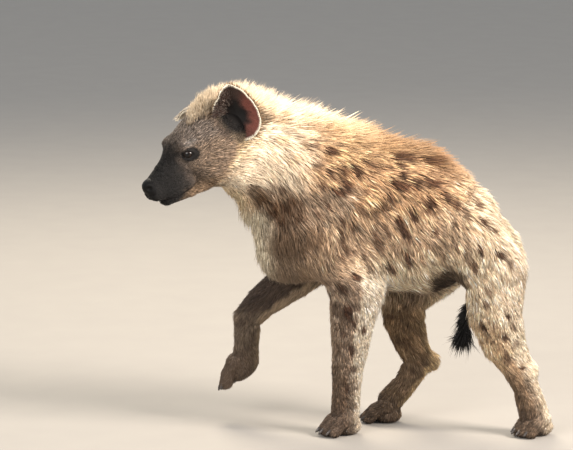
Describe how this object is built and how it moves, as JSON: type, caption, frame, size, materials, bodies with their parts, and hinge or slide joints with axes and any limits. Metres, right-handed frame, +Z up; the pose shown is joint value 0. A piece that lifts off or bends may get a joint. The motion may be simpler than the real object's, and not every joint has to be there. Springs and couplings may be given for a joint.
{
  "type": "spotted hyena",
  "caption": "Young spotted hyena walking, one forepaw lifted, head turned to its left, with a raised mane, rounded ears, spotted coat and a tail tucked between the hind legs.",
  "frame": {"origin": "on the floor, under the middle of the animal's bounding box", "axes": "+Z up; the animal faces -Y, its left side is +X and its length is along Y"},
  "size_m": [0.2454, 0.8802, 0.7633],
  "materials": {
    "face_coat": "short dense fur, dark grey-brown to near black on the muzzle",
    "mane_coat": "long loose fur, cream to straw",
    "body_coat": "coarse fur, sand-brown with dark irregular spots",
    "brush_coat": "long coarse hair, black",
    "leg_coat": "short fur, grey-brown with blurred spots and dark feet",
    "ear_skin": "thin skin with very short fur, pale rim",
    "eye": "wet, dark brown",
    "claw_horn": "worn dark horn"
  },
  "bodies": {
    "root": {"head": "face_coat", "neck": "mane_coat", "torso": "body_coat", "tail": "brush_coat", "leg_front_left": "leg_coat", "leg_front_right": "leg_coat", "leg_hind_left": "leg_coat", "leg_hind_right": "leg_coat", "ear_left": "ear_skin", "ear_right": "ear_skin", "eye_left": "eye", "eye_right": "eye", "claw_front_left_1": "claw_horn", "claw_front_left_2": "claw_horn", "claw_front_left_3": "claw_horn", "claw_front_left_4": "claw_horn", "claw_front_right_1": "claw_horn", "claw_front_right_2": "claw_horn", "claw_front_right_3": "claw_horn", "claw_front_right_4": "claw_horn", "claw_hind_left_1": "claw_horn", "claw_hind_left_2": "claw_horn", "claw_hind_left_3": "claw_horn", "claw_hind_left_4": "claw_horn", "claw_hind_right_1": "claw_horn", "claw_hind_right_2": "claw_horn", "claw_hind_right_3": "claw_horn", "claw_hind_right_4": "claw_horn"}
  },
  "joints": []
}
